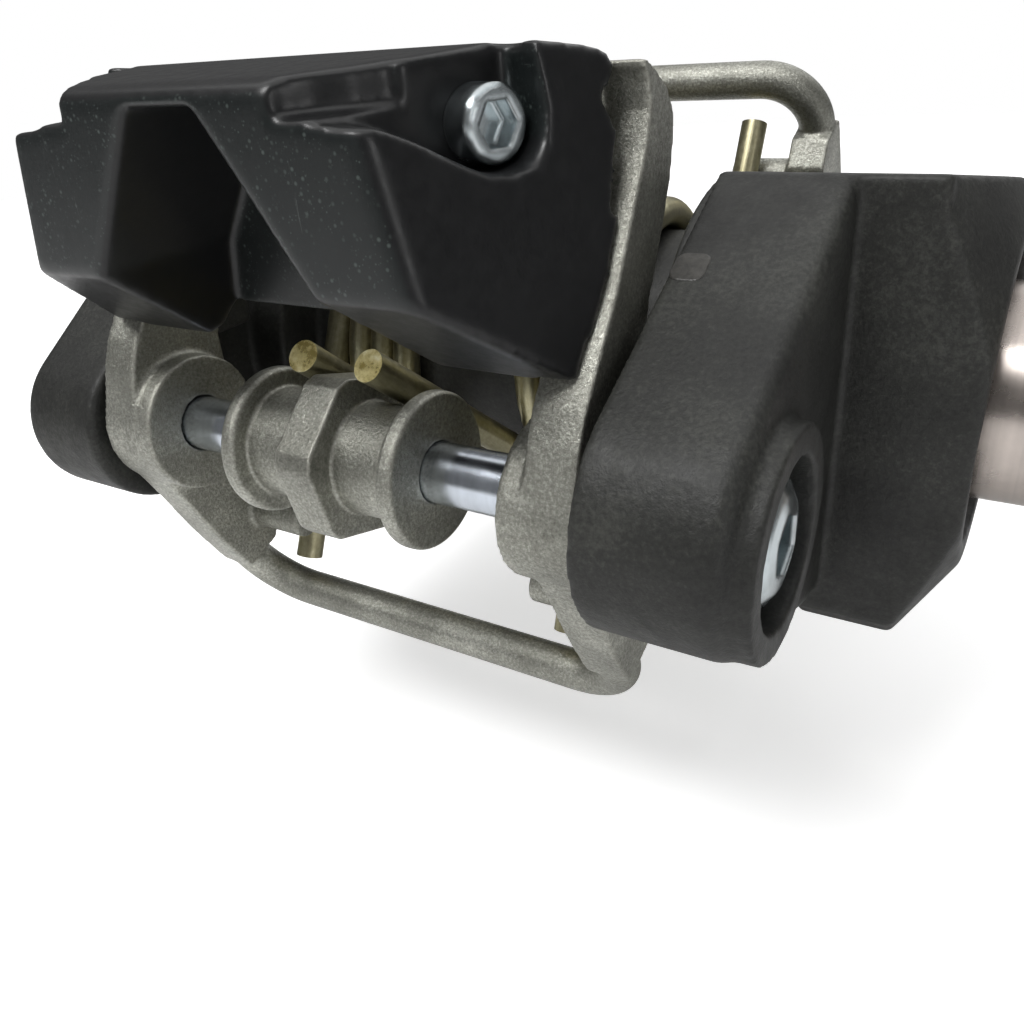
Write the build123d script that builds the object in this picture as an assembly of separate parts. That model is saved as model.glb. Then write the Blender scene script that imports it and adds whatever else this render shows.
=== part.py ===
from build123d import *
import os
from math import sin, cos, radians, pi, atan2, degrees, asin, sqrt

os.makedirs("parts", exist_ok=True)

# ---------------------------------------------------------------- dimensions, mm
# X runs along the spindle towards the crank, Y from the front jaw to the rear one,
# Z up.  The origin is on the spindle axis at the shoulder that seats on the crank.
MID = -58.0            # mid-plane of the two jaws, from the crank shoulder
SHAFT_Y = 31.1         # jaw shaft to spindle axis
SHAFT_R = 2.5          # jaw shaft
TOP_Z = 20.0           # flat top and bottom of the body

ARM_IN, ARM_OUT = 25.2, 35.3    # side arms, from the mid-plane
ARM_R = 9.1            # rounded end of an arm
ARM_CY, ARM_CZ = 31.3, 0.9      # centre of that rounding
LARM_R, LARM_CY, LARM_CZ = 7.8, 30.5, -1.0   # the same on the slimmer outboard arm
FLANGE_END = 45.6      # inboard face of the bearing housing
BARREL_R = 11.95       # spring seat on the barrel
SHOULDER_R = 17.3      # barrel shoulders beside the springs

WIRE_R = 1.38          # jaw springs
COIL_R = 13.6          # mean coil radius
COIL_PITCH = 5.76      # two springs interleave in each group
COIL_X0 = 5.2          # first coil centre from the mid-plane
LEG_IN = (3.4, -31.2, 8.3)    # end of the leg on the spool
LEG_OUT = (15.9, -24.0, -18.4) # end of the leg behind the jaw

SPOOL_R, SPOOL_FLANGE_R = 4.75, 6.45
SPOOL_HALF, SPOOL_FLANGE_T = 8.95, 1.5
SPOOL_HEX_AF, SPOOL_HEX_W = 13.2, 3.6

PLATE_IN, PLATE_OUT = 20.0, 24.0
EYE_R, EYE_IN, EYE_OUT = 6.3, 18.0, 24.05
BAIL_R, BAIL_X, BAIL_Y, BAIL_Z = 1.9, 22.05, -24.0, -22.75
STUB_R, STUB_TIP, STUB_Y, STUB_Z = 1.75, 13.6, -25.2, -12.85

SPINDLE_R = 9.25       # collar at the crank side
THREAD_R = 7.14        # plain stand-in for the 9/16 in crank thread
THREAD_L = 12.5


def at(x, y=0.0, z=0.0):
    return Pos(MID + x, y, z)


def xcyl(r, x0, x1, y=0.0, z=0.0):
    """Cylinder along X between two stations measured from the mid-plane."""
    a, b = min(x0, x1), max(x0, x1)
    return Pos(MID + (a + b) / 2, y, z) * Rot(0, 90, 0) * Cylinder(r, b - a)


def xcone(r0, r1, x0, x1, y=0.0, z=0.0):
    """Cone along X, radius r0 at x0 and r1 at x1 (x0 < x1)."""
    return Pos(MID + (x0 + x1) / 2, y, z) * Rot(0, 90, 0) * Cone(r0, r1, x1 - x0)


def yz_prism(pts, x0, x1):
    """Polygon given in (Y, Z), extruded along X between two stations."""
    pl = Plane(origin=(MID + x0, 0, 0), x_dir=(0, 1, 0), z_dir=(1, 0, 0))
    return extrude(pl * make_face(Polyline(*pts, close=True)), amount=x1 - x0)


def yz_disc(r, x0, x1, y, z):
    return xcyl(r, x0, x1, y, z)


def rear(shape):
    """The rear mechanism is the front one turned half a turn about the spindle."""
    return shape.rotate(Axis.X, 180)


def mirror_x(shape):
    return shape.mirror(Plane(origin=(MID, 0, 0), z_dir=(1, 0, 0)))


def one(shape):
    s = shape.solids()
    return s[0] if len(s) == 1 else Compound(children=list(s))


def save(shape, name):
    sol = shape.solids()
    obj = sol[0] if len(sol) == 1 else Compound(label=name, children=list(sol))
    obj.label = name
    export_step(obj, f"parts/{name}.step")
    print(f"{name}: {len(sol)} solid(s)")


def tangent_points(cy, cz, r, py, pz):
    """Both points where lines from (py, pz) touch a circle."""
    dy, dz = py - cy, pz - cz
    d = sqrt(dy * dy + dz * dz)
    a = atan2(dz, dy)
    b = pi / 2 - asin(r / d)
    return [(cy + r * cos(a + s * b), cz + r * sin(a + s * b)) for s in (1, -1)]


# ---------------------------------------------------------------- body profile
TOP_FRONT, TOP_REAR = (-14.0, TOP_Z), (18.1, 14.1)


def outline(cy, cz, r):
    """Diamond outline with rounded ends; it looks the same turned upside down."""
    up = max(tangent_points(-cy, cz, r, *TOP_FRONT), key=lambda p: p[1])
    low = min(tangent_points(-cy, cz, r, -TOP_REAR[0], -TOP_REAR[1]), key=lambda p: p[1])
    half = [TOP_FRONT, TOP_REAR, (-low[0], -low[1]), (cy, -cz)]
    return half + [(-up[0], -up[1])] + [(-p[0], -p[1]) for p in half] + [up]


def side_plate(x0, x1, cy, cz, r):
    pts = outline(cy, cz, r)
    p = yz_prism(pts, x0, x1)
    p += xcyl(r, x0, x1, -cy, cz)
    p += xcyl(r, x0, x1, cy, -cz)
    return p


# ---------------------------------------------------------------- body
arm_r = side_plate(ARM_IN, ARM_OUT, ARM_CY, ARM_CZ, ARM_R)
arm_l = side_plate(-ARM_OUT, -ARM_IN, LARM_CY, LARM_CZ, LARM_R)
try:
    rim = [e for e in arm_r.edges() if abs(e.center().X - (MID + ARM_OUT)) < 1e-3]
    arm_r = fillet(rim, 1.2)
    rim = [e for e in arm_l.edges() if abs(e.center().X - (MID - ARM_OUT)) < 1e-3]
    arm_l = fillet(rim, 1.2)
except Exception:
    print("arm rims left sharp")
body = arm_r + arm_l
body = body + xcyl(BARREL_R, -ARM_IN - 1, ARM_IN + 1)
body = body + xcyl(SHOULDER_R, 20.6, ARM_IN + 1) + xcyl(SHOULDER_R, -ARM_IN - 1, -20.6)

# bearing housing on the crank side: the side plate's shape, narrowed and chamfered
HOUSING = [(-14, 20), (12.6, 15.1), (14, 13.4), (14, -18.4), (12.4, -19.4), (-11, -19.4), (-14, -16.6)]
housing = yz_prism(HOUSING, ARM_OUT - 2, 41.2)
nose = yz_prism(HOUSING, 41.1, FLANGE_END) & xcone(22.6, 15.0, 41.1, FLANGE_END)
housing = housing + nose
body = body + housing

# raised rings round the shaft screws and recesses for the shaft heads
for s in (-1, 1):
    body = body + xcyl(8.15, ARM_OUT - 1, ARM_OUT + 1.5, s * SHAFT_Y, 0)
# stops that hold the closed jaws
for s in (-1, 1):
    stop = Pos(MID + s * 23.6, -22.1, 8.2) * Box(4.2, 5.2, 4.5)
    body = body + stop + rear(stop)

# openings in the body
for s in (-1, 1):
    body = body - xcyl(SHAFT_R + 0.03, -40, 40, s * SHAFT_Y, 0)
    body = body - xcyl(5.95, ARM_OUT - 1.7, ARM_OUT + 3, s * SHAFT_Y, 0)
    body = body - xcyl(5.7, -ARM_OUT - 1, -ARM_OUT + 1.9, s * SHAFT_Y, 0)
body = body - xcyl(9.8, -17, FLANGE_END - 6)           # room round the spindle
body = body - xcyl(8.0, -30.5, -16)                    # outboard bearing seat
body = body - xcyl(10.5, -ARM_OUT - 1, -28.5)          # dust cap seat
body = body - xcyl(13.0, FLANGE_END - 15.5, FLANGE_END + 1)    # inboard bearing seat
save(body, "body")

# ---------------------------------------------------------------- spindle group
spindle = (xcone(5.6, SPINDLE_R, 20, 30.0) + xcyl(SPINDLE_R, 30.0, -MID)
           + xcyl(5.6, -16.5, 20.5) + xcyl(4.0, -30.0, -16.0)
           + xcyl(THREAD_R, -MID - 0.5, -MID + THREAD_L))
flats = Pos(-4.2, 0, 0) * Box(5.0, 30, 30) - Pos(-4.2, 0, 0) * Box(5.2, 30, 15.0)
spindle = spindle - flats
socket = Pos(THREAD_L, 0, 0) * Rot(0, -90, 0) * extrude(RegularPolygon(3.46, 6), amount=6.0)
spindle = spindle - socket
spindle = chamfer(spindle.edges().filter_by(GeomType.CIRCLE).sort_by(Axis.X)[-1], 0.9)
save(spindle, "spindle")


def bearing(x0, x1, bore, outer, ball_r, count, names):
    mid = (x0 + x1) / 2
    pitch = (bore + outer) / 2
    land = 0.42 * (outer - bore) / 2
    groove = Pos(MID + mid, 0, 0) * Rot(0, 90, 0) * Torus(pitch, ball_r + 0.03)
    inner = xcyl(bore + land, x0, x1) - xcyl(bore, x0 - 1, x1 + 1) - groove
    outr = xcyl(outer, x0, x1) - xcyl(outer - land, x0 - 1, x1 + 1) - groove
    balls = [Pos(MID + mid, pitch * cos(2 * pi * k / count), pitch * sin(2 * pi * k / count))
             * Sphere(ball_r) for k in range(count)]
    save(inner, names + "_inner_ring")
    save(outr, names + "_outer_ring")
    save(Compound(children=[b.solids()[0] for b in balls]), names + "_balls")


bearing(FLANGE_END - 15.4, FLANGE_END - 9.4, SPINDLE_R + 0.01, 12.98, 0.95, 20, "inboard_bearing")
bearing(-23.4, -17.4, 4.01, 7.98, 1.05, 11, "outboard_bearing")

lock_ring = xcyl(12.97, FLANGE_END - 9.3, FLANGE_END - 1.2) - xcyl(SPINDLE_R + 1.6, FLANGE_END - 20, FLANGE_END + 2)
for k in range(8):
    a = 2 * pi * k / 8
    notch = (Pos(MID + FLANGE_END - 1.2, 12.6 * cos(a), 12.6 * sin(a)) * Rot(360 * k / 8, 0, 0)
             * Box(3.0, 2.4, 2.2))
    lock_ring = lock_ring - notch
save(lock_ring, "lock_ring")
seal = (xcyl(SPINDLE_R + 1.55, FLANGE_END - 8.6, FLANGE_END - 2.2)
        - xcyl(SPINDLE_R + 0.06, FLANGE_END - 20, FLANGE_END + 2))
save(seal, "spindle_seal")
nut = Pos(MID - 26.2, 0, 0) * Rot(0, 90, 0) * extrude(RegularPolygon(6.5, 6), amount=4.0, both=False)
nut = nut & xcyl(6.3, -26.4, -20)
nut = nut - xcyl(4.01, -40, 0)
nut = Pos(-1.4, 0, 0) * nut
save(nut, "spindle_nut")
cap = xcyl(10.45, -ARM_OUT + 0.1, -ARM_OUT + 2.6)
cap = cap + (xcyl(10.45, -ARM_OUT + 0.1, -28.6) - xcyl(8.8, -ARM_OUT + 1.5, -28))
cap = cap - Pos(MID - ARM_OUT, 0, 0) * Box(2.2, 2.0, 12.0)
save(cap, "dust_cap")

# ---------------------------------------------------------------- shafts
shaft = xcyl(SHAFT_R, -34.0, 30.6, -SHAFT_Y)
head = xcyl(5.55, -ARM_OUT + 0.2, -33.9, -SHAFT_Y) + xcyl(5.55, -ARM_OUT - 1.3, -ARM_OUT + 0.3, -SHAFT_Y)
head = fillet(head.edges().filter_by(GeomType.CIRCLE).sort_by(Axis.X)[0], 1.0)
shaft = shaft + head
shaft = shaft - xcyl(1.35, 18.6, 31, -SHAFT_Y)
save(shaft, "front_shaft")
save(rear(shaft), "rear_shaft")

# button-head screws that hold the shafts
screw_axis = Axis((MID, -SHAFT_Y, 0), (1, 0, 0))
x_seat = ARM_OUT - 1.68
prof = Plane(origin=(MID + x_seat, -SHAFT_Y, 0), x_dir=(1, 0, 0), z_dir=(0, -1, 0)) * make_face(
    Polyline((0, 0), (0, 5.2), (0.9, 5.2), (2.0, 4.5), (2.7, 3.4), (2.9, 2.4), (2.9, 0), close=True))
button = revolve(prof, axis=Axis((MID, -SHAFT_Y, 0), (1, 0, 0)))
button = button + xcyl(1.33, 20.5, x_seat + 0.2, -SHAFT_Y)
hexs = Pos(MID + x_seat + 3.0, -SHAFT_Y, 0) * Rot(0, -90, 0) * extrude(RegularPolygon(2.3, 6), amount=2.2)
button = button - hexs
collar = xcyl(2.46, 30.8, x_seat + 0.3, -SHAFT_Y)
button = button + collar
both = Compound(children=[button.solids()[0], rear(button).solids()[0]])
save(both, "shaft_screws")

# ---------------------------------------------------------------- spools
spool = xcyl(SPOOL_R, -SPOOL_HALF, SPOOL_HALF, -SHAFT_Y)
for s in (-1, 1):
    fl = xcyl(SPOOL_FLANGE_R, s * (SPOOL_HALF - SPOOL_FLANGE_T), s * SPOOL_HALF, -SHAFT_Y)
    fl = fillet(fl.edges().filter_by(GeomType.CIRCLE), 0.45)
    spool = spool + fl
hx = Pos(MID - SPOOL_HEX_W / 2, -SHAFT_Y, 0) * Rot(0, 90, 0) * extrude(
    RegularPolygon(SPOOL_HEX_AF / 2, 6, major_radius=False, rotation=12), amount=SPOOL_HEX_W)
hx = hx & xcyl(7.25, -5, 5, -SHAFT_Y)
spool = spool + hx
spool = spool - xcyl(SHAFT_R + 0.04, -12, 12, -SHAFT_Y)
save(spool, "front_spool")
save(rear(spool), "rear_spool")


# ---------------------------------------------------------------- springs
def spring():
    """Right-hand front torsion spring: leg on the spool, 1.8 turns round the
    barrel, leg behind the jaw stub."""
    xi, yi, zi = LEG_IN
    xo, yo, zo = LEG_OUT
    ti = min(tangent_points(0, 0, COIL_R, yi, zi), key=lambda p: p[1])
    to = min(tangent_points(0, 0, COIL_R, yo, zo), key=lambda p: p[0])
    a0 = degrees(atan2(ti[1], ti[0])) % 360
    a1 = degrees(atan2(to[1], to[0])) % 360
    wrap = (a1 - a0) % 360 + 360.0
    turns = wrap / 360.0
    length = COIL_PITCH * turns
    start = Plane(origin=(MID + COIL_X0, 0, 0), x_dir=(0, cos(radians(a0)), sin(radians(a0))), z_dir=(1, 0, 0))
    path = start * Helix(pitch=COIL_PITCH, height=length, radius=COIL_R)
    p0, p1, d0, d1 = path @ 0, path @ 1, path % 0, path % 1
    sec = Plane(origin=p0, z_dir=d0) * Circle(WIRE_R)
    coil = sweep(sec, path=path, is_frenet=True)

    def bar(a, b):
        return Plane(origin=a, z_dir=b - a).location * Cylinder(
            WIRE_R, (b - a).length, align=(Align.CENTER, Align.CENTER, Align.MIN))

    # a short run on along the wire, then the straight leg
    q0, q1 = p0 - d0 * 1.2, p1 + d1 * 1.2
    s = coil + bar(p1, q1)
    s = s + bar(p0, q0)
    s = s + (bar(q1, Vector(MID + xo, yo, zo)) + Pos(q1.X, q1.Y, q1.Z) * Sphere(WIRE_R))
    s = s + (bar(q0, Vector(MID + xi, yi, zi)) + Pos(q0.X, q0.Y, q0.Z) * Sphere(WIRE_R))
    print("spring wrap %.1f deg, outer end at x %.2f, volume %.0f" % (wrap, COIL_X0 + length, s.volume))
    return s


spr = spring()
save(spr, "front_spring_right")
save(mirror_x(spr), "front_spring_left")
save(rear(spr), "rear_spring_right")
save(rear(mirror_x(spr)), "rear_spring_left")

# ---------------------------------------------------------------- jaw (cast steel)
SY = -SHAFT_Y
PLATE = [(SY - 6.2, 1.0), (-36.5, 3.6), (-35.6, 6.4), (-34.4, 8.8), (-31.8, 12.2), (-29.4, 15.2),
         (-27.0, 19.3), (-24.7, 23.0), (-23.8, 25.6), (-24.2, 27.1), (-25.1, 28.5), (-24.2, 28.25), (-23.2, 27.8), (-21.1, 26.5), (-20.0, 24.9), (-19.8, 23.6), (-20.4, 20.7),
         (-21.8, 17.4), (-24.1, 13.1), (-25.2, 8.5), (-25.4, 2.0), (-24.6, -3.0), (-23.4, -9.0),
         (-22.9, -14.0), (-24.4, -16.8), (-28.6, -18.2), (-31.7, -12.6), (-33.8, -8.0), (-35.5, -4.6),
         (SY - 6.2, -1.0)]


def jaw_side():
    p = yz_prism(PLATE, PLATE_IN, PLATE_OUT)
    longs = p.edges().filter_by(Axis.X)
    try:
        p = fillet(longs, 0.5)
        rim = [e for e in p.edges() if abs(e.center().X - (MID + PLATE_OUT)) < 1e-3]
        p = fillet(rim, 0.9)
    except Exception:
        print("plate rim left sharp")
    p = p + xcyl(EYE_R, EYE_IN, EYE_OUT, SY, 0)
    p = p + xcyl(STUB_R, STUB_TIP, PLATE_IN + 0.5, STUB_Y, STUB_Z)
    return p


side = jaw_side()
jaw = side + mirror_x(side)
# lower bail: straight wire with a rounded corner at each end
cr = 5.6
pts = [(MID - BAIL_X, -28.5, -14.2), (MID - BAIL_X, BAIL_Y, BAIL_Z), (MID + BAIL_X, BAIL_Y, BAIL_Z),
       (MID + BAIL_X, -28.5, -14.2)]
wire_path = FilletPolyline(*pts, radius=cr)
sec = Plane(origin=wire_path @ 0, z_dir=wire_path % 0) * Circle(BAIL_R)
bail = sweep(sec, path=wire_path)
jaw = jaw + bail
# bridge behind the pad, with a lip that holds the cleat
BRIDGE = [(-24.4, 28.3), (-22.9, 27.2), (-21.7, 25.7), (-25.3, 18.7), (-27.6, 19.9), (-25.7, 24.3),
          (-26.3, 26.4)]
bridge = yz_prism(BRIDGE, -PLATE_IN - 0.5, PLATE_IN + 0.5)
lug = Pos(MID + 10.6, -29.2, 25.7) * Box(5.6, 8.0, 4.6)
bridge = bridge + lug + mirror_x(lug)
jaw = jaw + bridge
jaw = jaw - xcyl(SHAFT_R + 0.05, -30, 30, SY, 0)
SN = Vector(0.936, -0.352, 0)
tap = Plane(origin=(MID + 15.86, -32.02, 25.75), z_dir=(SN.X, SN.Y, 0)) * extrude(Circle(1.32), amount=-9.0)
jaw = jaw - tap - mirror_x(tap)
save(jaw, "front_jaw")
save(rear(jaw), "rear_jaw")

# ---------------------------------------------------------------- pad (nylon)
PAD_FRONT = -42.6
PAD = [(PAD_FRONT, 17.3), (PAD_FRONT + 0.05, 28.6), (-42.0, 29.2), (-41.0, 29.45), (-30.0, 30.0), (-26.5, 29.4),
       (-24.6, 28.75), (-24.5, 28.35), (-26.4, 26.45), (-25.8, 24.3), (-27.7, 19.85), (-25.5, 18.6),
       (-27.9, 14.6), (-30.4, 11.3), (-31.4, 10.3), (-33.0, 9.9)]
pad = yz_prism(PAD, -23.9, 23.9)


def wedge(s, keep):
    """Block outside the leaning outer facet of one lobe."""
    low = [(17.65, -42.6), (26.57, -20.3), (60.0, -20.3), (60.0, -60.0), (10.69, -60.0)]
    a = Plane(origin=(0, 0, 7.5)) * make_face(Polyline(*[(MID + s * (x + 2.35), y) for x, y in low], close=True))
    b = Plane(origin=(0, 0, 32.5)) * make_face(Polyline(*[(MID + s * (x - 3.52), y) for x, y in low], close=True))
    return loft([a, b])


for s in (-1, 1):
    pad = pad - wedge(s, True)
# round the upright corner between the front and each outer facet
try:
    up = [e for e in pad.edges() if abs(e.center().Y - PAD_FRONT) < 0.3 and e.bounding_box().size.Z > 8
          and abs(abs(e.center().X - MID) - 16.4) < 2.0]
    pad = fillet(up, 1.6)
except Exception:
    print("pad corners left sharp")
# pocket at each end for the jaw's side plate
for s in (-1, 1):
    pocket = yz_prism([(-34.45, 5.0), (-34.45, 8.8), (-31.85, 12.22), (-29.45, 15.22), (-27.05, 19.32),
                       (-24.75, 23.02), (-23.85, 25.6), (-24.25, 27.12), (-25.2, 28.55), (-25.2, 31), (-10, 31),
                       (-10, 5)], *sorted((s * (PLATE_IN - 0.05), s * 40)))
    pad = pad - pocket
# central notch, wider at the bottom
notch = Plane(origin=(MID, -50, 0), x_dir=(1, 0, 0), z_dir=(0, -1, 0)) * make_face(Polyline(
    (-2.9, 28.1), (2.9, 28.1), (6.0, 23.4), (10.0, 17.2), (11.6, 9.0), (-11.6, 9.0), (-10.0, 17.2), (-6.0, 23.4),
    close=True))
pad = pad - (extrude(notch, amount=-30) & Pos(MID, -37.5, 20) * Box(60, 15.0, 40))

# screw recess at the outer top corner of each lobe
N = Vector(0.936, -0.352, 0)            # outward, along the screw
T = Vector(-0.352, -0.936, 0)           # towards the front, across the screw
SCREW = Vector(MID + 18.2, -32.9, 25.75)    # centre of the screw's head face
HEAD_R, HEAD_H = 2.3, 2.5
seat = SCREW - N * HEAD_H
rp = Plane(origin=(seat.X, seat.Y, 0), x_dir=(-T.X, -T.Y, 0), z_dir=(N.X, N.Y, 0))
POCKET = [(-2.75, 32.0), (-2.75, 26.2), (-2.35, 24.6), (-1.3, 23.5), (0.3, 23.15), (2.0, 23.35), (3.6, 24.1),
          (5.0, 24.9), (6.6, 25.8), (8.6, 26.7), (12.0, 27.2), (16.0, 27.3), (16.0, 32.0)]
recess = extrude(rp * make_face(Polyline(*[(-t, z) for t, z in POCKET], close=True)), amount=14)
flare = Plane(origin=(MID, 0, 27.3)) * make_face(Polyline((9.1, -43.4), (9.5, -41.8), (10.6, -40.2), (12.3, -38.6),
                                                        (13.6, -36.5), (19.0, -36.5), (19.0, -43.4), close=True))
recess = recess + extrude(flare, amount=5)
hole = Plane(origin=(seat.X, seat.Y, SCREW.Z), z_dir=(N.X, N.Y, 0)) * extrude(Circle(1.32), amount=-9.0)
lug_gap = Pos(MID + 10.6, -29.2, 25.7) * Box(5.64, 8.04, 4.64)
pad = pad - recess - mirror_x(recess) - hole - mirror_x(hole) - lug_gap - mirror_x(lug_gap)
save(pad, "front_pad")
save(rear(pad), "rear_pad")

# pad screws
scr = Plane(origin=(seat.X + N.X * 0.02, seat.Y + N.Y * 0.02, SCREW.Z), z_dir=(N.X, N.Y, 0))
ps = scr * extrude(Circle(HEAD_R), amount=HEAD_H)
ps = chamfer(ps.edges().filter_by(GeomType.CIRCLE).sort_by(Axis.X)[-1], 0.3)
ps = ps + scr * extrude(Circle(1.25), amount=-8.0)
ps = ps - Plane(origin=scr.origin + N * HEAD_H, z_dir=(N.X, N.Y, 0)) * extrude(RegularPolygon(1.5, 6), amount=-1.5)
pair = Compound(children=[ps.solids()[0], mirror_x(ps).solids()[0]])
save(pair, "front_pad_screws")
save(rear(pair), "rear_pad_screws")
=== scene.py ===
import math
import bpy
import bmesh
from mathutils import Vector, Matrix


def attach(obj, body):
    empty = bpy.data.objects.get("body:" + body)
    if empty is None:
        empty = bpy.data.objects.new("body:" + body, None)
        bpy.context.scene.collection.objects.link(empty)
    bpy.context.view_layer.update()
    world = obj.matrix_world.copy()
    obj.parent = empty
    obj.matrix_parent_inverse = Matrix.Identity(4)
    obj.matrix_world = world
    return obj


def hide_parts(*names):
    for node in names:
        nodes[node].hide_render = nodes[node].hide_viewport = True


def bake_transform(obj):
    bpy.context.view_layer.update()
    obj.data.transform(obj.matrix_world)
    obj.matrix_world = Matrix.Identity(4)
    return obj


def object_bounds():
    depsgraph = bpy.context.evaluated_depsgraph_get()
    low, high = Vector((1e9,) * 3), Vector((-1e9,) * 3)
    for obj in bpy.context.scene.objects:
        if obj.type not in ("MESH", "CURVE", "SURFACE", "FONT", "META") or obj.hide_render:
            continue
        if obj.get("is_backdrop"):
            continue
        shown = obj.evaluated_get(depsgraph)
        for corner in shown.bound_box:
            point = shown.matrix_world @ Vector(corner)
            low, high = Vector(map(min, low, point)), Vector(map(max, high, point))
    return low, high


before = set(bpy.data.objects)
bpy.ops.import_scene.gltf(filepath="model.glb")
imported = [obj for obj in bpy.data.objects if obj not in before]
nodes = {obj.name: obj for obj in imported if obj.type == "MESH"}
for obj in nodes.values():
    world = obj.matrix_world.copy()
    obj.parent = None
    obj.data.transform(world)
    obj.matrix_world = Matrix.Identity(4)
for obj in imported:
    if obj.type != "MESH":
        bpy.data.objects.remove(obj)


def keep_bounds(tag):
    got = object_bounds()
    return {tag: [[float(x) for x in p] for p in got]}


size = keep_bounds("after_load")
MM = 0.001
MID = -58.0                      # mid-plane of the jaws from the crank shoulder, mm
C = bpy.context.scene


# ------------------------------------------------------------------ materials
class Nodes:
    def __init__(self, name):
        m = bpy.data.materials.new(name)
        m.use_nodes = True
        self.m, self.t = m, m.node_tree
        self.t.nodes.clear()
        self.out = self.n("ShaderNodeOutputMaterial")
        self.b = self.n("ShaderNodeBsdfPrincipled")
        self.l(self.b.outputs[0], self.out.inputs[0])
        tc = self.n("ShaderNodeTexCoord")
        self.co = tc.outputs["Object"]

    def n(self, kind, **kw):
        x = self.t.nodes.new(kind)
        for k, v in kw.items():
            setattr(x, k, v)
        return x

    def l(self, a, b):
        self.t.links.new(a, b)

    def map(self, scale, rot=(0, 0, 0)):
        x = self.n("ShaderNodeMapping")
        x.inputs["Scale"].default_value = scale
        x.inputs["Rotation"].default_value = rot
        self.l(self.co, x.inputs[0])
        return x.outputs[0]

    def noise(self, scale, detail=4, rough=0.55, vec=None, dist=0.0):
        x = self.n("ShaderNodeTexNoise")
        x.inputs["Scale"].default_value = scale
        x.inputs["Detail"].default_value = detail
        x.inputs["Roughness"].default_value = rough
        x.inputs["Distortion"].default_value = dist
        self.l(vec or self.co, x.inputs["Vector"])
        return x.outputs["Fac"]

    def voronoi(self, scale, vec=None, feature="F1"):
        x = self.n("ShaderNodeTexVoronoi")
        x.feature = feature
        x.inputs["Scale"].default_value = scale
        self.l(vec or self.co, x.inputs["Vector"])
        return x.outputs["Distance"]

    def ramp(self, fac, stops):
        x = self.n("ShaderNodeValToRGB")
        e = x.color_ramp.elements
        while len(e) > 1:
            e.remove(e[-1])
        e[0].position, e[0].color = stops[0][0], (*stops[0][1], 1) if len(stops[0][1]) == 3 else stops[0][1]
        for p, c in stops[1:]:
            k = e.new(p)
            k.color = (*c, 1)
        self.l(fac, x.inputs[0])
        return x.outputs[0]

    def math(self, op, a, b=None, clamp=False):
        x = self.n("ShaderNodeMath", operation=op, use_clamp=clamp)
        for i, v in enumerate((a, b)):
            if v is None:
                continue
            if isinstance(v, (int, float)):
                x.inputs[i].default_value = v
            else:
                self.l(v, x.inputs[i])
        return x.outputs[0]

    def mix(self, fac, a, b):
        x = self.n("ShaderNodeMix", data_type="RGBA")
        for s, v in ((x.inputs[0], fac), (x.inputs[6], a), (x.inputs[7], b)):
            if isinstance(v, (int, float)):
                s.default_value = v
            elif isinstance(v, tuple):
                s.default_value = (*v, 1)
            else:
                self.l(v, s)
        return x.outputs[2]

    def bump(self, height, strength, distance, normal=None):
        x = self.n("ShaderNodeBump")
        x.inputs["Strength"].default_value = strength
        x.inputs["Distance"].default_value = distance
        self.l(height, x.inputs["Height"])
        if normal:
            self.l(normal, x.inputs["Normal"])
        return x.outputs[0]

    def edge(self, radius, power=1.0):
        """1 on sharp convex edges, from the bevel normal against the true one."""
        bev = self.n("ShaderNodeBevel", samples=4)
        bev.inputs["Radius"].default_value = radius
        geo = self.n("ShaderNodeNewGeometry")
        dot = self.n("ShaderNodeVectorMath", operation="DOT_PRODUCT")
        self.l(bev.outputs[0], dot.inputs[0])
        self.l(geo.outputs["Normal"], dot.inputs[1])
        k = self.math("SUBTRACT", 1.0, dot.outputs["Value"], clamp=True)
        return self.math("MULTIPLY", k, 6.0 * power, clamp=True), bev.outputs[0]

    def set(self, **kw):
        for k, v in kw.items():
            s = self.b.inputs[k.replace("_", " ")]
            if isinstance(v, (int, float)):
                s.default_value = v
            elif isinstance(v, tuple):
                s.default_value = (*v, 1) if len(v) == 3 else v
            else:
                self.l(v, s)
        return self


def body_nylon():
    n = Nodes("grained body nylon")
    big = n.noise(90, 3)
    fine = n.noise(2600, 3, 0.7)
    mid = n.noise(620, 4, 0.6)
    col = n.ramp(n.math("ADD", n.math("MULTIPLY", big, 0.55), n.math("MULTIPLY", fine, 0.45)),
                 [(0.36, (0.0085, 0.0085, 0.0078)), (0.52, (0.0210, 0.0215, 0.0190)), (0.66, (0.0480, 0.0490, 0.0430))])
    e, nb = n.edge(0.0006)
    col = n.mix(n.math("MULTIPLY", e, 0.25), col, (0.070, 0.070, 0.062))
    rough = n.ramp(mid, [(0.3, (0.46, 0.46, 0.46)), (0.7, (0.60, 0.60, 0.60))])
    bmp = n.bump(fine, 0.55, 0.00010, n.bump(mid, 0.18, 0.00012))
    n.set(Base_Color=col, Roughness=rough, Normal=bmp, Specular_IOR_Level=0.42)
    return n.m


def gate_mark():
    n = Nodes("gate mark nylon")
    v = n.noise(1500, 4, 0.7)
    w = n.noise(500, 3)
    n.set(Base_Color=n.ramp(v, [(0.35, (0.026, 0.025, 0.022)), (0.65, (0.056, 0.053, 0.047))]),
          Roughness=n.ramp(w, [(0.3, (0.36,) * 3), (0.7, (0.50,) * 3)]), Normal=n.bump(v, 0.5, 0.00010))
    return n.m


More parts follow.
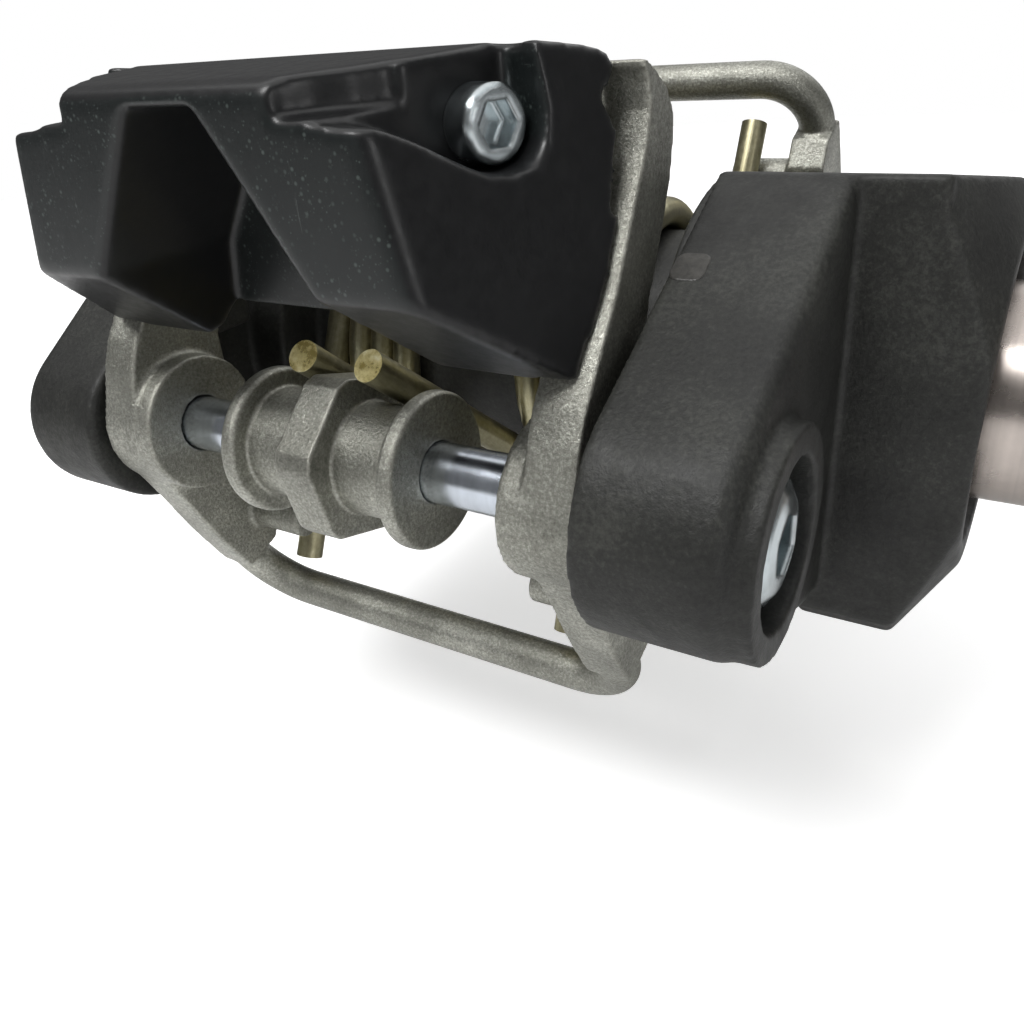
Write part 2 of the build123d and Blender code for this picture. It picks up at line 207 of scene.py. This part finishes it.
def pad_nylon():
    n = Nodes("moulded pad nylon")
    speck = n.voronoi(1700)
    mask = n.noise(420, 3, 0.6)
    dots = n.ramp(speck, [(0.0, (1, 1, 1)), (0.16, (0.5, 0.5, 0.5)), (0.27, (0, 0, 0))])
    dots = n.math("MAXIMUM", dots, n.ramp(n.voronoi(3100), [(0.0, (0.7, 0.7, 0.7)), (0.14, (0.35, 0.35, 0.35)), (0.24, (0, 0, 0))]))
    gate = n.ramp(mask, [(0.38, (0, 0, 0)), (0.58, (1, 1, 1))])
    geo = n.n("ShaderNodeNewGeometry")
    sep = n.n("ShaderNodeSeparateXYZ")
    n.l(geo.outputs["Normal"], sep.inputs[0])
    facing = n.ramp(n.math("ABSOLUTE", sep.outputs["Y"]), [(0.80, (0, 0, 0)), (0.93, (1, 1, 1))])
    amt = n.math("MULTIPLY", n.math("MULTIPLY", dots, gate), facing)
    # long thin scratches on the same faces
    s1 = n.noise(160, 5, 0.8, n.map((18, 1, 1), (0.5, 0.7, 0.35)), 0.2)
    s2 = n.noise(150, 5, 0.8, n.map((1, 1, 22), (-0.4, 0.5, 0.9)), 0.2)
    scr = n.math("MAXIMUM", n.ramp(s1, [(0.665, (0, 0, 0)), (0.70, (1, 1, 1))]), n.ramp(s2, [(0.665, (0, 0, 0)), (0.70, (1, 1, 1))]))
    scr = n.math("MULTIPLY", scr, n.math("ADD", n.math("MULTIPLY", facing, 0.55), 0.06))
    base = n.ramp(n.noise(120, 3), [(0.3, (0.0030, 0.0032, 0.0038)), (0.75, (0.0060, 0.0062, 0.0068))])
    base = n.mix(n.math("MULTIPLY", facing, 0.8), base, (0.0090, 0.0120, 0.0118))
    col = n.mix(n.math("MULTIPLY", amt, 0.75), base, (0.10, 0.125, 0.115))
    col = n.mix(n.math("MULTIPLY", scr, 0.5), col, (0.12, 0.13, 0.125))
    e, nb = n.edge(0.0007)
    col = n.mix(n.math("MULTIPLY", e, 0.22), col, (0.060, 0.065, 0.063))
    rough = n.ramp(n.noise(900, 4, 0.7), [(0.3, (0.30, 0.30, 0.30)), (0.7, (0.42, 0.42, 0.42))])
    rough = n.math("ADD", rough, n.math("MULTIPLY", amt, 0.2))
    bmp = n.bump(n.noise(3000, 3, 0.7), 0.16, 0.00004, n.bump(n.noise(240, 3), 0.10, 0.00015))
    n.set(Base_Color=col, Roughness=rough, Normal=bmp, Specular_IOR_Level=0.5)
    return n.m


def cast_steel():
    n = Nodes("cast steel")
    grain = n.noise(3600, 4, 0.8)
    lump = n.noise(700, 4, 0.65)
    pits = n.voronoi(1900)
    big = n.noise(130, 3)
    mixv = n.math("ADD", n.math("MULTIPLY", grain, 0.6), n.math("MULTIPLY", big, 0.4))
    col = n.ramp(mixv, [(0.34, (0.150, 0.150, 0.128)), (0.52, (0.330, 0.330, 0.290)), (0.68, (0.70, 0.70, 0.63))])
    e, nb = n.edge(0.0005)
    col = n.mix(n.math("MULTIPLY", e, 0.55), col, (0.62, 0.60, 0.54))
    rough = n.ramp(grain, [(0.3, (0.48, 0.48, 0.48)), (0.75, (0.27, 0.27, 0.27))])
    pit = n.ramp(pits, [(0.0, (0, 0, 0)), (0.35, (1, 1, 1))])
    bmp = n.bump(grain, 0.75, 0.00010, n.bump(lump, 0.28, 0.00016, n.bump(pit, 0.12, 0.00005)))
    n.set(Base_Color=col, Metallic=0.86, Roughness=rough, Normal=bmp)
    return n.m


def spring_wire():
    n = Nodes("olive spring wire")
    streak = n.noise(60, 5, 0.75, n.map((9, 1.2, 1.2)), 0.3)
    grain = n.noise(1800, 3, 0.7)
    col = n.ramp(n.math("ADD", n.math("MULTIPLY", streak, 0.7), n.math("MULTIPLY", grain, 0.3)),
                 [(0.30, (0.210, 0.190, 0.110)), (0.52, (0.420, 0.390, 0.250)), (0.74, (0.70, 0.66, 0.47))])
    bmp = n.bump(streak, 0.25, 0.00006, n.bump(grain, 0.12, 0.00003))
    n.set(Base_Color=col, Metallic=0.9, Roughness=n.ramp(grain, [(0.3, (0.28, 0.28, 0.28)), (0.7, (0.42, 0.42, 0.42))]), Normal=bmp)
    return n.m


def cut_end():
    n = Nodes("cut wire end")
    v = n.noise(900, 4, 0.7)
    col = n.ramp(v, [(0.35, (0.40, 0.32, 0.10)), (0.55, (0.78, 0.68, 0.32)), (0.72, (0.98, 0.92, 0.62))])
    n.set(Base_Color=col, Metallic=0.45, Roughness=n.ramp(v, [(0.3, (0.22, 0.22, 0.22)), (0.7, (0.40, 0.40, 0.40))]),
          Normal=n.bump(v, 0.5, 0.00016))
    return n.m


def plated(name, tint, rough0, rough1, lines=True):
    n = Nodes(name)
    ring = n.noise(900, 3, 0.6, n.map((1, 0.02, 0.02))) if lines else n.noise(500, 3)
    blot = n.noise(260, 4, 0.6)
    a = tuple(0.72 * x for x in tint)
    col = n.ramp(n.math("ADD", n.math("MULTIPLY", ring, 0.5), n.math("MULTIPLY", blot, 0.5)), [(0.3, a), (0.55, tint), (0.8, tuple(min(1, 1.25 * x) for x in tint))])
    e, nb = n.edge(0.0005)
    col = n.mix(n.math("MULTIPLY", e, 0.3), col, (0.9, 0.9, 0.9))
    rough = n.ramp(blot, [(0.3, (rough0,) * 3), (0.75, (rough1,) * 3)])
    bmp = n.bump(ring, 0.16 if lines else 0.1, 0.00003, n.bump(n.noise(2200, 2), 0.06, 0.00002, nb))
    n.set(Base_Color=col, Metallic=1.0, Roughness=rough, Normal=bmp)
    return n.m


def rubber():
    n = Nodes("seal rubber")
    v = n.noise(1500, 3)
    n.set(Base_Color=n.ramp(v, [(0.3, (0.010, 0.010, 0.010)), (0.7, (0.022, 0.022, 0.022))]),
          Roughness=n.ramp(v, [(0.3, (0.55,) * 3), (0.7, (0.75,) * 3)]), Normal=n.bump(v, 0.3, 0.00004))
    return n.m


def sweep_floor():
    n = Nodes("pale sweep")
    v = n.noise(3.0, 3)
    n.set(Base_Color=n.ramp(v, [(0.3, (0.91, 0.91, 0.91)), (0.7, (0.93, 0.93, 0.93))]), Roughness=n.ramp(v, [(0.3, (0.9,) * 3), (0.7, (0.95,) * 3)]),
          Emission_Color=(1, 1, 1), Emission_Strength=n.math("MULTIPLY", n.n("ShaderNodeLightPath").outputs["Is Camera Ray"], 0.55))
    return n.m


M = {"body": body_nylon(), "mark": gate_mark(), "pad": pad_nylon(), "cast": cast_steel(), "wire": spring_wire(), "cut": cut_end(),
     "zinc": plated("bright zinc", (0.66, 0.71, 0.78), 0.13, 0.26),
     "screw": plated("plated screw", (0.60, 0.66, 0.68), 0.16, 0.30, False),
     "ground": plated("ground bearing steel", (0.70, 0.70, 0.72), 0.10, 0.2),
     "turned": plated("turned spindle", (0.56, 0.50, 0.46), 0.22, 0.36),
     "rubber": rubber(), "floor": sweep_floor()}


def look(o, key):
    o.data.materials.clear()
    o.data.materials.append(M[key])
    for p in o.data.polygons:
        p.material_index = 0


def kind(n):
    if n in ("body", "dust_cap"):
        return "body"
    if n.endswith("_pad"):
        return "pad"
    if n.endswith("_jaw") or n.endswith("_spool"):
        return "cast"
    if "spring" in n:
        return "wire"
    if n in ("front_shaft", "rear_shaft"):
        return "zinc"
    if n.endswith("screws"):
        return "screw"
    if n == "spindle_seal":
        return "rubber"
    if "bearing" in n:
        return "ground"
    return "turned"


for name, o in nodes.items():
    look(o, kind(name))


# ------------------------------------------------------------------ soft edges on carried-over CAD pieces
def soften(o, width, segments=3, angle=32):
    b = o.modifiers.new("soft edges", "BEVEL")
    b.width = width * MM
    b.segments = segments
    b.limit_method = "ANGLE"
    b.angle_limit = math.radians(angle)
    b.use_clamp_overlap = True
    for p in o.data.polygons:
        p.use_smooth = True
    o.modifiers.new("even shading", "WEIGHTED_NORMAL")


def mould(o, voxel, rounds, factor=0.5):
    """Even skin with every edge rounded, the way a cast or moulded piece comes out."""
    r = o.modifiers.new("even skin", "REMESH")
    r.mode = "VOXEL"
    r.voxel_size = voxel * MM
    r.use_smooth_shade = True
    k = o.modifiers.new("rounded edges", "SMOOTH")
    k.factor = factor
    k.iterations = rounds


# ------------------------------------------------------------------ camera
cam = bpy.data.cameras.new("camera")
co = bpy.data.objects.new("camera", cam)
C.collection.objects.link(co)
R = Vector((0.8567, 0.5101, -0.0774))
U = Vector((-0.1941, 0.4577, 0.8674))
B = Vector((0.4781, -0.7284, 0.4908))
m3 = Matrix((R, U, B)).transposed()
co.matrix_world = Matrix.Translation(Vector(((48.586 + MID) * MM, -81.506 * MM, 31.783 * MM))) @ m3.to_4x4()
cam.sensor_width = 36
cam.lens = 31.455
cam.clip_start = 0.002
cam.clip_end = 20
cam.dof.use_dof = False
C.camera = co

# ------------------------------------------------------------------ stage
def mesh_obj(name, verts, faces, mat, smooth=False):
    me = bpy.data.meshes.new(name)
    me.from_pydata(verts, [], faces)
    me.update()
    o = bpy.data.objects.new(name, me)
    C.collection.objects.link(o)
    me.materials.append(mat)
    for p in me.polygons:
        p.use_smooth = smooth
    return o


fl = -0.045
n_side = 96
ring = [(0.55 * math.cos(2 * math.pi * i / n_side) - 0.058, 0.55 * math.sin(2 * math.pi * i / n_side), fl) for i in range(n_side)]
floor = mesh_obj("floor", ring, [tuple(range(n_side))], M["floor"])
floor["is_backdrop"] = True
W = bpy.data.worlds.new("studio")
C.world = W
W.use_nodes = True
wt = W.node_tree
bg = wt.nodes["Background"]
bg.inputs[0].default_value = (1, 1, 1, 1)
bg.inputs[1].default_value = 0.16
bg2 = wt.nodes.new("ShaderNodeBackground")
bg2.inputs[0].default_value = (1, 1, 1, 1)
bg2.inputs[1].default_value = 1.0
lp = wt.nodes.new("ShaderNodeLightPath")
mx = wt.nodes.new("ShaderNodeMixShader")
wt.links.new(lp.outputs["Is Camera Ray"], mx.inputs[0])
wt.links.new(bg.outputs[0], mx.inputs[1])
wt.links.new(bg2.outputs[0], mx.inputs[2])
wt.links.new(mx.outputs[0], wt.nodes["World Output"].inputs[0])


def area(name, loc, target, size, power, sy=None, color=(1, 1, 1)):
    l = bpy.data.lights.new(name, "AREA")
    l.energy = power
    l.shape = "RECTANGLE"
    l.size = size
    l.size_y = sy or size
    l.color = color
    o = bpy.data.objects.new(name, l)
    C.collection.objects.link(o)
    o.location = loc
    d = Vector(target) - Vector(loc)
    o.rotation_euler = d.to_track_quat("-Z", "Y").to_euler()
    return o


T = (MID * MM, 0, 0)
area("key", (-0.16, -0.34, 0.52), T, 0.30, 2.3, 0.20)
area("top", (-0.10, 0.05, 0.60), T, 0.9, 2.6, 0.9)
area("side", (0.42, -0.26, 0.16), T, 0.10, 0.30, 0.25)
area("back", (0.05, 0.60, 0.35), T, 0.7, 0.8, 0.25)

C.view_settings.view_transform = "Standard"
C.view_settings.look = "None"
C.view_settings.exposure = 0.0

# ------------------------------------------------------------------ pieces
for name, o in nodes.items():
    if name.endswith("_pad"):
        mould(o, 0.27, 20)
    elif name == "body":
        mould(o, 0.36, 5)
    elif name.endswith("_jaw"):
        mould(o, 0.25, 5)
    elif name.endswith("_spool"):
        mould(o, 0.14, 4)
    elif name.endswith("screws") or name in ("spindle", "dust_cap", "lock_ring", "spindle_nut", "front_shaft", "rear_shaft"):
        soften(o, 0.12, 2, 28)

# bright cut faces on the wire ends: place and outward direction of each, on the front right spring
cut_ends = (((3.4, -31.2, 8.3), (-0.06, -0.77, 0.64)), ((15.9, -24.0, -18.4), (0.01, -0.44, -0.90)))
for name, o in nodes.items():
    if "spring" not in name:
        continue
    sx = -1 if name.endswith("left") else 1
    sy = 1 if name.startswith("front") else -1
    o.data.materials.append(M["cut"])
    for e, d in cut_ends:
        p = Vector(((MID + sx * e[0]) * MM, sy * e[1] * MM, sy * e[2] * MM))
        axis = Vector((sx * d[0], sy * d[1], sy * d[2])).normalized()
        for f in o.data.polygons:
            if (f.center - p).length < 1.6 * MM and f.normal.dot(axis) > 0.97:
                f.material_index = 1

# each spring is one wire (coil and inner leg against the body, outer leg against the jaw): a welded copy of its mesh,
# with long edges split and sharp creases kept, replaces the imported piece
for name, o in list(nodes.items()):
    if "spring" not in name:
        continue
    end = name.split("_")[0]
    sy = 1 if end == "front" else -1
    me = o.data.copy()
    wire = bpy.data.objects.new(name + "_wire", me)
    C.collection.objects.link(wire)
    bm = bmesh.new()
    bm.from_mesh(me)
    bmesh.ops.remove_doubles(bm, verts=bm.verts, dist=1e-6)
    for _ in range(4):
        long = [e for e in bm.edges if e.calc_length() > 1.6 * MM]
        if not long:
            break
        bmesh.ops.subdivide_edges(bm, edges=long, cuts=1)
        bmesh.ops.triangulate(bm, faces=[f for f in bm.faces if len(f.verts) > 3])
    bm.to_mesh(me)
    bm.free()
    bm = bmesh.new()
    bm.from_mesh(me)
    sharp = [e for e in bm.edges if len(e.link_faces) == 2 and e.calc_face_angle(0.0) > math.radians(40)]
    for e in sharp:
        e.smooth = False
    for f in bm.faces:
        f.smooth = True
    bm.to_mesh(me)
    bm.free()
    if "custom_normal" in me.attributes:
        me.attributes.remove(me.attributes["custom_normal"])
    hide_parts(name)
    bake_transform(wire)

# the gate mark left by the mould on each outer arm face
where = Vector((-0.031486, -0.023072, 0.015347))
normal = Vector((-0.00019, -0.45634, 0.8898)).normalized()
zx = Vector((1, 0, 0))
zx = (zx - normal * zx.dot(normal)).normalized()
zy = normal.cross(zx)
zy.normalize()
w, h, r = 1.25, 1.35, 0.75
rim = []
for cx, cy, a0 in ((w - r, h - r, 0), (-w + r, h - r, 90), (-w + r, -h + r, 180), (w - r, -h + r, 270)):
    for k in range(7):
        a = math.radians(a0 + k * 15)
        rim.append((cx + r * math.cos(a), cy + r * math.sin(a)))
for i, turn in enumerate((1, -1)):
    verts, faces = [], []
    for lift, grow in ((-0.35, 1.0), (0.02, 1.0), (0.07, 0.94)):
        for x, y in rim:
            p = where + (zx * x * grow + zy * y * grow + normal * lift) * MM
            verts.append((p.x, turn * p.y, turn * p.z))
    n = len(rim)
    for k in range(2):
        for j in range(n):
            faces.append((k * n + j, k * n + (j + 1) % n, (k + 1) * n + (j + 1) % n, (k + 1) * n + j))
    faces.append(tuple(range(2 * n, 3 * n)))
    faces.append(tuple(reversed(range(n))))
    g = mesh_obj(("front" if i == 0 else "rear") + "_gate_mark", verts, faces, M["mark"])
    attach(g, "pedal_body")

size.update(keep_bounds("before_finish"))
